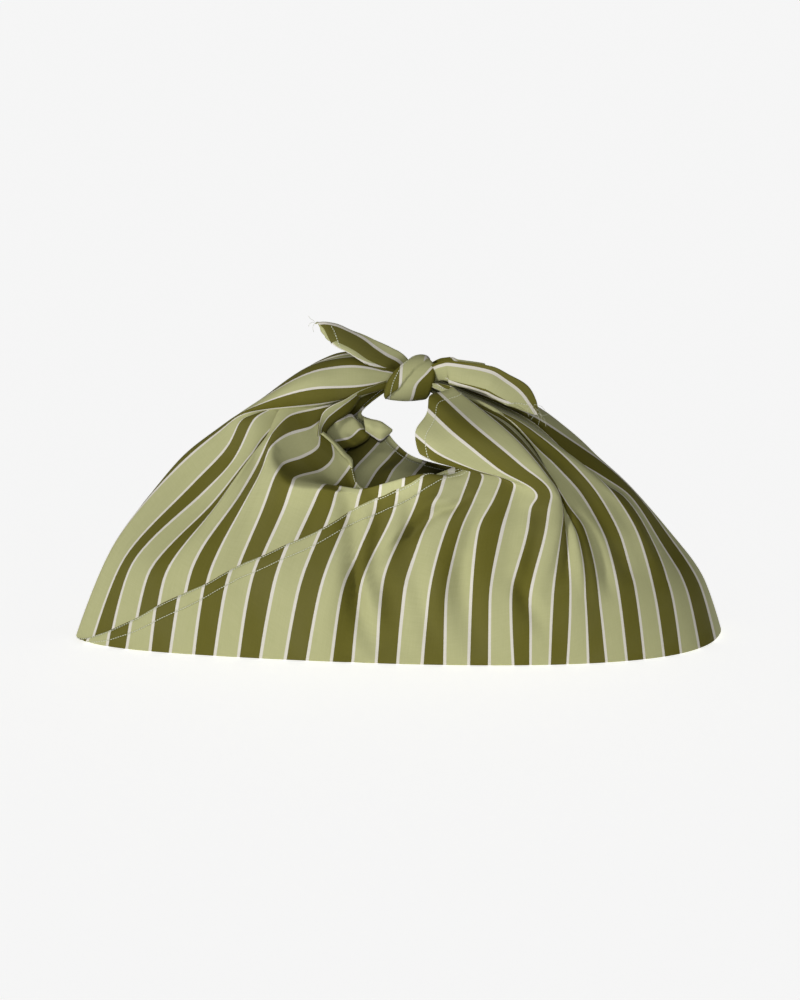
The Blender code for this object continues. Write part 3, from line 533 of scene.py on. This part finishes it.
def makeSheet(name, pieces):  # one mesh from grids of places on the cloth and in space
    mesh = bpy.data.meshes.new(name)
    verts, faces, places, doubled = [], [], [], []
    for points, around, height, thick, closedRound in pieces:
        start, (columns, rows) = len(verts), height.shape
        verts.extend((points * mm).reshape(-1, 3).tolist())
        doubled.extend(np.broadcast_to(thick, height.shape).reshape(-1).tolist())
        if closedRound:  # back at the first column, the place on the cloth is twice flatWidth
            around = np.vstack([around, np.full((1, rows), 2.0 * cut["flatWidth"])])
        for i in range(len(around) - 1):
            for k in range(rows - 1):
                corners = ((i, k), (i + 1, k), (i + 1, k + 1), (i, k + 1))
                faces.append([start + column % columns * rows + row for column, row in corners])
                places.extend((around[column, row], height[column % columns, row]) for column, row in corners)
    mesh.from_pydata(verts, [], faces)
    uv = mesh.uv_layers.new(name="cloth")
    uv.data.foreach_set("uv", (np.array(places) * mm).reshape(-1))
    obj = addObject(name, mesh)
    group = obj.vertex_groups.new(name="doubled")
    for index, share in enumerate(doubled):
        group.add([index], share, "REPLACE")
    weldMesh(mesh)
    solidify = obj.modifiers.new("thickness", "SOLIDIFY")
    solidify.thickness = drape["thickness"] * mm
    solidify.offset = -1.0
    solidify.vertex_group = "doubled"
    solidify.thickness_vertex_group = drape["plainShare"]
    mesh.shade_smooth()
    return obj


def weldMesh(mesh):
    bm = bmesh.new()
    bm.from_mesh(mesh)
    bmesh.ops.remove_doubles(bm, verts=bm.verts, dist=drape["weld"] * mm)
    bm.to_mesh(mesh)
    bm.free()


# Stitches. Every row is a line of points and outward ways, along which the stitches are spaced evenly.
stitch = {"pitch": 2.5, "length": 2.1, "width": 0.9, "height": 0.6, "seamRows": (0.9, 8.8), "seamLift": 0.62,
          "hemRow": 7.8, "hemLifts": (0.12, -1.72), "bandColumn": 5, "bandRows": (13, 48), "tailLift": 0.3,
          "samples": 260, "reach": 0.6, "uneven": 0.12, "seed": 7}


def stitchRow(grid, strip, across, lift):
    around, height = stripPlace(strip, np.linspace(0.0, 1.0, stitch["samples"]), across)
    spots, outward = clothAt(grid, around, height)
    return spots + outward * lift, outward * math.copysign(1.0, lift)


def stitchPlaces(lines):  # even places along each line, as points and turns
    places, turns = [], []
    for spots, outward in lines:
        reached = lengthsAlong(spots)
        reach = stitch["reach"]
        for middle in np.arange(stitch["pitch"], reached[-1] - stitch["pitch"], stitch["pitch"]):
            spot, ahead, back = (Vector(readAt(middle + step, reached, spots))
                                 for step in (0.0, reach, -reach))
            out = Vector(readAt(middle, reached, outward))
            way = (ahead - back).normalized()
            side = out.cross(way).normalized()
            out = way.cross(side)
            places.append(spot * mm)
            turns.append(Matrix((way, side, out)).transposed().to_euler())
    return places, turns


def stitchTree():
    tree, ins, outs = newGroup("rows of stitches", "GeometryNodeTree", {
        "Geometry": "Geometry", "Length": "Float", "Width": "Float", "Height": "Float", "Uneven": "Float",
        "Seed": "Int", "Thread": "Material"}, {"Geometry": "Geometry"})
    bead = linkNodes(tree, "GeometryNodeMeshUVSphere", {"Segments": 6, "Rings": 4, "Radius": 0.5})
    low = mathNode(tree, "SUBTRACT", 1.0, ins.outputs["Uneven"])
    high = mathNode(tree, "ADD", 1.0, ins.outputs["Uneven"])
    share = linkNodes(tree, "FunctionNodeRandomValue", {2: low, 3: high, "Seed": ins.outputs["Seed"]},
                      data_type="FLOAT").outputs[1]
    size = linkNodes(tree, "ShaderNodeCombineXYZ", {
        0: mathNode(tree, "MULTIPLY", ins.outputs["Length"], share), 1: ins.outputs["Width"],
        2: ins.outputs["Height"]})
    turn = linkNodes(tree, "GeometryNodeInputNamedAttribute", {"Name": "turn"}, data_type="FLOAT_VECTOR")
    turned = linkNodes(tree, "FunctionNodeEulerToRotation", {0: turn.outputs[0]})
    points = linkNodes(tree, "GeometryNodeMeshToPoints", {0: ins.outputs["Geometry"]})
    placed = linkNodes(tree, "GeometryNodeInstanceOnPoints", {
        "Points": points.outputs[0], "Instance": bead.outputs[0], "Rotation": turned.outputs[0],
        "Scale": size.outputs[0]})
    real = linkNodes(tree, "GeometryNodeRealizeInstances", {0: placed.outputs[0]})
    done = linkNodes(tree, "GeometryNodeSetMaterial", {
        0: real.outputs[0], "Material": ins.outputs["Thread"]})
    fillInputs(tree, outs, {0: done.outputs[0]})
    return tree


def makeStitches(name, lines, material):
    places, turns = stitchPlaces(lines)
    mesh = bpy.data.meshes.new(name + "Places")
    mesh.from_pydata(places, [], [])
    field = mesh.attributes.new("turn", "FLOAT_VECTOR", "POINT")
    field.data.foreach_set("vector", np.array([list(turn) for turn in turns]).reshape(-1))
    source = addObject(name + "Places", mesh)
    tree = stitchTree()
    modifier = source.modifiers.new("stitches", "NODES")
    modifier.node_group = tree
    values = {label: stitch[label.lower()] * mm for label in ("Length", "Width", "Height")}
    values.update({"Uneven": stitch["uneven"], "Seed": stitch["seed"], "Thread": material})
    for item in tree.interface.items_tree:
        if item.in_out == "INPUT" and item.name in values:
            modifier[item.identifier] = values[item.name]
    evaluated = source.evaluated_get(bpy.context.evaluated_depsgraph_get())
    plain = bpy.data.meshes.new_from_object(evaluated)
    made = addObject(name, plain)
    bpy.data.objects.remove(source)
    if "turn" in plain.attributes:
        plain.attributes.remove(plain.attributes["turn"])
    plain.shade_smooth()
    print(name, len(places), "stitches", len(plain.polygons), "faces")
    return made


# Threads that have come loose at the tips of the tails. Each is a line of points.
fray = {"radius": 0.16, "sides": 5, "steps": 9}
frayed = (
    ((123, -45, 224), (128, -47, 219), (129, -48, 213)), ((124, -45, 222), (126, -48, 216), (131, -49, 211)),
    ((126, -44, 219), (130, -45, 217), (135, -46, 218)), ((125, -44, 218), (127, -46, 213), (126, -47, 208)),
    ((121, -46, 226), (122, -49, 219), (119, -50, 214)), ((126, -44, 219), (132, -45, 213), (133, -46, 207)),
    ((119, -46, 227), (116, -49, 223), (117, -50, 217)), ((122, -45, 227), (128, -46, 226), (132, -46, 222)),
    ((-78, -11, 297), (-82, -12, 296), (-84, -12, 293)), ((-79, -10, 298), (-82, -11, 300), (-84, -12, 303)),
    ((-78, -12, 296), (-80, -13, 292), (-79, -14, 288)),
)


def makeThreads(name, lines):
    mesh = bpy.data.meshes.new(name)
    verts, faces, sides = [], [], fray["sides"]
    for line in lines:
        steps = np.linspace(0, len(line) - 1, fray["steps"])
        spots = smoothCurve(range(len(line)), np.array(line, float), steps)
        ways = np.gradient(spots, axis=0)
        start = len(verts)
        for spot, way in zip(spots, ways):
            first = Vector(way).orthogonal().normalized()
            second = Vector(way).normalized().cross(first)
            for side in range(sides):
                turn = 2.0 * math.pi * side / sides
                out = first * math.cos(turn) + second * math.sin(turn)
                verts.append((Vector(spot) + fray["radius"] * out) * mm)
        for ring in range(len(spots) - 1):
            for side in range(sides):
                a, b = start + ring * sides + side, start + ring * sides + (side + 1) % sides
                faces.append((a, b, b + sides, a + sides))
        faces.append(tuple(start + side for side in reversed(range(sides))))
        faces.append(tuple(start + (len(spots) - 1) * sides + side for side in range(sides)))
    mesh.from_pydata(verts, [], faces)
    mesh.shade_smooth()
    return addObject(name, mesh)


# Materials

clothLook = {
    "light": (0.450, 0.449, 0.232, 1.0), "dark": (0.124, 0.113, 0.015, 1.0),
    "line": (0.70, 0.665, 0.60, 1.0), "shade": (0.80, 0.82, 0.72, 1.0), "worn": (0.62, 0.62, 0.48, 1.0),
    "repeat": 40.5, "darkEnd": 16.5, "lineEnd": 19.2, "lightEnd": 37.8,
    "threadPitch": 0.62, "slubLong": 14.0, "slubWide": 260.0, "slubScale": 4.0, "patchScale": 11.0,
    "weaveDepth": 0.05, "bump": 0.55, "slubRelief": 0.6, "lineRelief": 0.5,
    "streaks": (0.35, 0.65, 0.0, 0.34), "fading": (0.40, 0.75, 0.0, 0.035),
    "roughness": (0.3, 0.7, 0.60, 0.74), "specular": 0.12, "sheen": 0.02, "sheenRoughness": 0.45,
}


def fillInputs(tree, node, inputs):  # a value is set, and another node's output is linked
    for key, value in inputs.items():
        if isinstance(value, bpy.types.NodeSocket):
            tree.links.new(value, node.inputs[key])
        else:
            node.inputs[key].default_value = value


def linkNodes(tree, kind, inputs, **settings):
    node = tree.nodes.new(kind)
    for key, value in settings.items():
        setattr(node, key, value)
    fillInputs(tree, node, inputs)
    return node


def mathNode(tree, operation, first, second=0.0, third=0.0):
    inputs = {0: first, 1: second, 2: third}
    return linkNodes(tree, "ShaderNodeMath", inputs, operation=operation).outputs[0]


def mixNumber(tree, factor, first, second):
    return linkNodes(tree, "ShaderNodeMix", {0: factor, 2: first, 3: second}, data_type="FLOAT").outputs[0]


def mixColor(tree, factor, first, second, blend="MIX"):
    inputs = {0: factor, 6: first, 7: second}
    return linkNodes(tree, "ShaderNodeMix", inputs, data_type="RGBA", blend_type=blend).outputs[2]


def noiseNode(tree, spot, scale, detail):
    inputs = {"Vector": spot, "Scale": scale, "Detail": detail}
    return linkNodes(tree, "ShaderNodeTexNoise", inputs).outputs[0]


def newGroup(name, kind, inputs, outputs):  # inputs and outputs: the name and kind of each socket
    tree = bpy.data.node_groups.new(name, kind)
    for way, sockets in (("INPUT", inputs), ("OUTPUT", outputs)):
        for label, socket in sockets.items():
            tree.interface.new_socket(label, in_out=way, socket_type="NodeSocket" + socket)
    return tree, tree.nodes.new("NodeGroupInput"), tree.nodes.new("NodeGroupOutput")


def newMaterial(name):
    material = bpy.data.materials.new(name)
    material.use_nodes = True
    return material, material.node_tree, material.node_tree.nodes["Principled BSDF"]


clothPlace = {"Around": "Float", "Height": "Float"}


def stripeGroup():  # the strip's stripes, from a place on the folded bag
    tree, ins, outs = newGroup("woven stripes", "ShaderNodeTree", clothPlace,
                               {"Color": "Color", "Line": "Float"})
    repeat, low, high = clothLook["repeat"], clothLook["darkEnd"], clothLook["lineEnd"]
    width = cut["flatWidth"] * mm
    around, height = ins.outputs["Around"], ins.outputs["Height"]
    belowFrontSeam = mathNode(tree, "LESS_THAN", height, around)
    front = mixNumber(tree, belowFrontSeam, mathNode(tree, "MULTIPLY", around, -1.0), around)
    belowBackSeam = mathNode(tree, "LESS_THAN", height, mathNode(tree, "SUBTRACT", around, width))
    back = mixNumber(tree, belowBackSeam, around, mathNode(tree, "SUBTRACT", 2.0 * width, around))
    place = mixNumber(tree, mathNode(tree, "LESS_THAN", around, width), back, front)
    share = mathNode(tree, "FRACT", mathNode(tree, "DIVIDE", place, repeat * mm))
    ramp = linkNodes(tree, "ShaderNodeValToRGB", {0: share})
    ramp.color_ramp.interpolation = "CONSTANT"
    stops = ((0.0, "dark"), (low, "line"), (high, "light"), (clothLook["lightEnd"], "line"))
    while len(ramp.color_ramp.elements) < len(stops):
        ramp.color_ramp.elements.new(1.0)
    for element, (start, colour) in zip(ramp.color_ramp.elements, stops):
        element.position = start / repeat
        element.color = clothLook[colour]
    inLine = mathNode(tree, "COMPARE", share, (low + high) / 2.0 / repeat, (high - low) / 2.0 / repeat)
    fillInputs(tree, outs, {"Color": ramp.outputs[0], "Line": inLine})
    return tree


def weaveGroup():  # the threads: their relief, and how much their colour wanders
    tree, ins, outs = newGroup("plain weave", "ShaderNodeTree", clothPlace,
                               {"Relief": "Float", "Slub": "Float", "Patch": "Float"})
    pitch = clothLook["threadPitch"] * mm
    waves = []
    for axis in ("Around", "Height"):
        turns = mathNode(tree, "MULTIPLY", ins.outputs[axis], 2.0 * math.pi / pitch)
        waves.append(mathNode(tree, "SINE", turns))
    crossed = mathNode(tree, "MULTIPLY", waves[0], waves[1])
    relief = mathNode(tree, "MULTIPLY_ADD", crossed, 0.5, 0.5)
    slubs = []
    long, wide = clothLook["slubLong"], clothLook["slubWide"]
    for first, second in ((wide, long), (long, wide)):
        spot = linkNodes(tree, "ShaderNodeCombineXYZ", {
            0: mathNode(tree, "MULTIPLY", ins.outputs["Around"], first),
            1: mathNode(tree, "MULTIPLY", ins.outputs["Height"], second)})
        slubs.append(noiseNode(tree, spot.outputs[0], clothLook["slubScale"], 2.0))
    slub = mathNode(tree, "MULTIPLY_ADD", mathNode(tree, "ADD", slubs[0], slubs[1]), 0.5, 0.0)
    spot = linkNodes(tree, "ShaderNodeCombineXYZ", {0: ins.outputs["Around"], 1: ins.outputs["Height"]})
    patch = noiseNode(tree, spot.outputs[0], clothLook["patchScale"], 3.0)
    fillInputs(tree, outs, {"Relief": relief, "Slub": slub, "Patch": patch})
    return tree


def mapped(tree, value, bounds):  # bounds: low and high of the value, then what they become
    return linkNodes(tree, "ShaderNodeMapRange", {0: value, **dict(enumerate(bounds, 1))}).outputs[0]


def clothMaterial():
    material, tree, shader = newMaterial("stripedCloth")
    uv = linkNodes(tree, "ShaderNodeUVMap", {}, uv_map="cloth")
    place = linkNodes(tree, "ShaderNodeSeparateXYZ", {0: uv.outputs[0]})
    inputs = {"Around": place.outputs[0], "Height": place.outputs[1]}
    stripes, weave = (linkNodes(tree, "ShaderNodeGroup", inputs, node_tree=made)
                      for made in (stripeGroup(), weaveGroup()))
    slub = weave.outputs["Slub"]
    streaks, rough = (mapped(tree, slub, clothLook[name]) for name in ("streaks", "roughness"))
    faded = mapped(tree, weave.outputs["Patch"], clothLook["fading"])
    colour = mixColor(tree, streaks, stripes.outputs["Color"], clothLook["shade"], "MULTIPLY")
    colour = mixColor(tree, faded, colour, clothLook["worn"])
    raised = mathNode(tree, "MULTIPLY_ADD", slub, clothLook["slubRelief"], weave.outputs["Relief"])
    raised = mathNode(tree, "MULTIPLY_ADD", stripes.outputs["Line"], clothLook["lineRelief"], raised)
    bump = linkNodes(tree, "ShaderNodeBump", {
        "Strength": clothLook["bump"], "Distance": clothLook["weaveDepth"] * mm, "Height": raised})
    fillInputs(tree, shader, {
        "Base Color": colour, "Roughness": rough, "Normal": bump.outputs[0],
        "Specular IOR Level": clothLook["specular"], "Sheen Weight": clothLook["sheen"],
        "Sheen Roughness": clothLook["sheenRoughness"]})
    return material


threadLook = {"thread": (0.74, 0.76, 0.58, 1.0), "frayed": (0.66, 0.66, 0.52, 1.0), "roughness": 0.6,
              "dull": 0.72, "scale": 900.0}


def threadMaterial(name, colour):
    material, tree, shader = newMaterial(name)
    spot = tree.nodes.new("ShaderNodeTexCoord").outputs["Object"]
    dull = tuple(threadLook["dull"] * part for part in colour[:3]) + (1.0,)
    noise = noiseNode(tree, spot, threadLook["scale"], 2.0)
    fillInputs(tree, shader, {
        "Base Color": mixColor(tree, noise, dull, colour), "Roughness": threadLook["roughness"],
        "Specular IOR Level": clothLook["specular"]})
    return material


# Stage

view = {"elevation": 15.0, "distance": 2.2, "aim": (0.17, 2.84, 125.0), "lens": 84.24, "sensor": 36.0}


def addCamera():
    camera = bpy.data.cameras.new("camera")
    camera.sensor_fit = "VERTICAL"
    camera.sensor_height = view["sensor"]
    camera.lens = view["lens"]
    obj = addObject("camera", camera)
    tilt = math.radians(view["elevation"])
    aim = Vector(view["aim"]) * mm
    obj.location = aim + Vector((0.0, -math.cos(tilt), math.sin(tilt))) * view["distance"]
    obj.rotation_euler = (math.pi / 2.0 - tilt, 0.0, 0.0)
    bpy.context.scene.camera = obj


floorLook = {"size": 30.0, "z": -0.0004, "tone": (0.84, 0.84, 0.84, 1.0), "roughness": 0.9, "glow": 0.75}
white = (1.0, 1.0, 1.0, 1.0)


def addStage():
    bm = bmesh.new()
    bmesh.ops.create_grid(bm, x_segments=2, y_segments=2, size=floorLook["size"])
    mesh = bpy.data.meshes.new("floor")
    bm.to_mesh(mesh)
    bm.free()
    floor = addObject("floor", mesh)
    floor.location.z = floorLook["z"]
    material, tree, shader = newMaterial("paleFloor")
    fillInputs(tree, shader, {"Base Color": floorLook["tone"], "Roughness": floorLook["roughness"],
                              "Emission Color": white, "Emission Strength": floorLook["glow"]})
    mesh.materials.append(material)


# The suns, as turn, tilt, energy, angle and colour, and a narrow light from the camera's side for the inside
# that shows in the mouth. It and the key reach the bag, and leave the ground blank.
suns = {"key": (-50.0, 79.0, 1.70, 10.0, (1.0, 0.99, 0.97)),
        "front": (4.0, 67.0, 0.45, 14.0, (1.0, 1.0, 1.0))}
mouthLight = {"aim": (-8.0, 30.0, 153.0), "distance": 2.6, "tilt": 74.0, "energy": 150.0, "cone": 2.0,
              "blend": 0.8, "radius": 0.02}
worldLight = 0.145


def addSun(name, turn, tilt, energy, angle, colour):
    light = bpy.data.lights.new(name, "SUN")
    light.energy = energy
    light.angle = math.radians(angle)
    light.color = colour
    obj = addObject(name, light)
    obj.rotation_euler = (math.radians(tilt), 0.0, math.radians(turn))
    return obj


def addMouthLight():
    light = bpy.data.lights.new("mouth", "SPOT")
    light.energy = mouthLight["energy"]
    light.spot_size = math.radians(mouthLight["cone"])
    light.spot_blend = mouthLight["blend"]
    light.shadow_soft_size = mouthLight["radius"]
    obj = addObject("mouth", light)
    turned = Matrix.Rotation(math.radians(mouthLight["tilt"]), 4, "X")
    back = turned @ Vector((0.0, 0.0, mouthLight["distance"]))
    obj.matrix_world = Matrix.Translation(Vector(mouthLight["aim"]) * mm + back) @ turned
    return obj


def addLights():  # gives the collection of what the key and the mouth light reach
    scene = bpy.context.scene
    scene.world = scene.world or bpy.data.worlds.new("world")
    scene.world.use_nodes = True
    tree = scene.world.node_tree
    fillInputs(tree, tree.nodes["Background"], {0: white, 1: worldLight})
    made = [addSun(name, *values) for name, values in suns.items()]
    lit = bpy.data.collections.new("lit")
    for light in (made[0], addMouthLight()):
        light.light_linking.receiver_collection = lit
    return lit


print("stage")
addCamera()
addStage()
lit = addLights()
bpy.context.scene.view_settings.view_transform = "Standard"

print("cloth")
columns, heights, points = drapedCloth()
normals = gridNormals(points)
inward = sum(creaseDepth(crease, columns[:, None], heights) for crease in creases)
inward = inward + gatherDepth(columns[:, None], heights)
points -= normals * inward[:, :, None]
normals = gridNormals(points)
shift = np.array(drape["shift"])
points += shift
aroundGrid = np.repeat(columns[:, None], heights.shape[1], axis=1)
hemGap = (hemHeight(aroundGrid) - heights) / math.sqrt(2.0)
isHem = (hemHeight(aroundGrid) < cut["knotHeight"]) & (hemGap < cut["hemWidth"])
pieces = [(points, aroundGrid, heights, isHem.astype(float), True)]
stitchLines = []
for rows, middle, foldAt, foldDepth in tails:
    spots, around, height, stitched = tailGrid(rows, middle, foldAt, foldDepth)
    pieces.append((spots + shift, around, height, 0.0, False))
    stitchLines.append((stitched[:, :3] + stitched[:, 3:] * stitch["tailLift"] + shift, stitched[:, 3:]))
for fold in mouthFolds:
    spots, around, height = foldGrid(fold)
    pieces.append((spots + shift, around, height, 0.0, False))
for inner in band["turns"]:
    spots, around, height = bandGrid(inner)
    pieces.append((spots + shift, around, height, 1.0, False))
    if inner == 0.0:
        seen = spots[stitch["bandColumn"], slice(*stitch["bandRows"])] + shift
        outward = seen - shift - np.array([0.0, band["y"], band["z"]])
        outward[:, 0] = 0.0
        outward /= np.linalg.norm(outward, axis=1, keepdims=True)
        stitchLines.append((seen + outward * stitch["tailLift"], outward))
grid = (columns, heights, points, normals)
for strip in seamStrips + hemStrips:
    spots, around, height = stripGrid(grid, strip)
    pieces.append((spots, around, height, 0.0, False))
cloth = makeSheet("stripedCloth", pieces)
cloth.data.materials.append(clothMaterial())
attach(cloth, "root")
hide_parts("bag_cloth")

print("stitches")
for strip in seamStrips:
    stitchLines += [stitchRow(grid, strip, across, stitch["seamLift"]) for across in stitch["seamRows"]]
for strip in hemStrips:
    stitchLines += [stitchRow(grid, strip, stitch["hemRow"], lift) for lift in stitch["hemLifts"]]
stitches = makeStitches("stitches", stitchLines, threadMaterial("sewingThread", threadLook["thread"]))
loose = makeThreads("frayedThreads", [np.array(line) + shift for line in frayed])
loose.data.materials.append(threadMaterial("looseThread", threadLook["frayed"]))
for piece in (cloth, stitches, loose):
    lit.objects.link(piece)
for piece in (stitches, loose):
    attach(piece, "root")
print("faces", len(cloth.data.polygons))
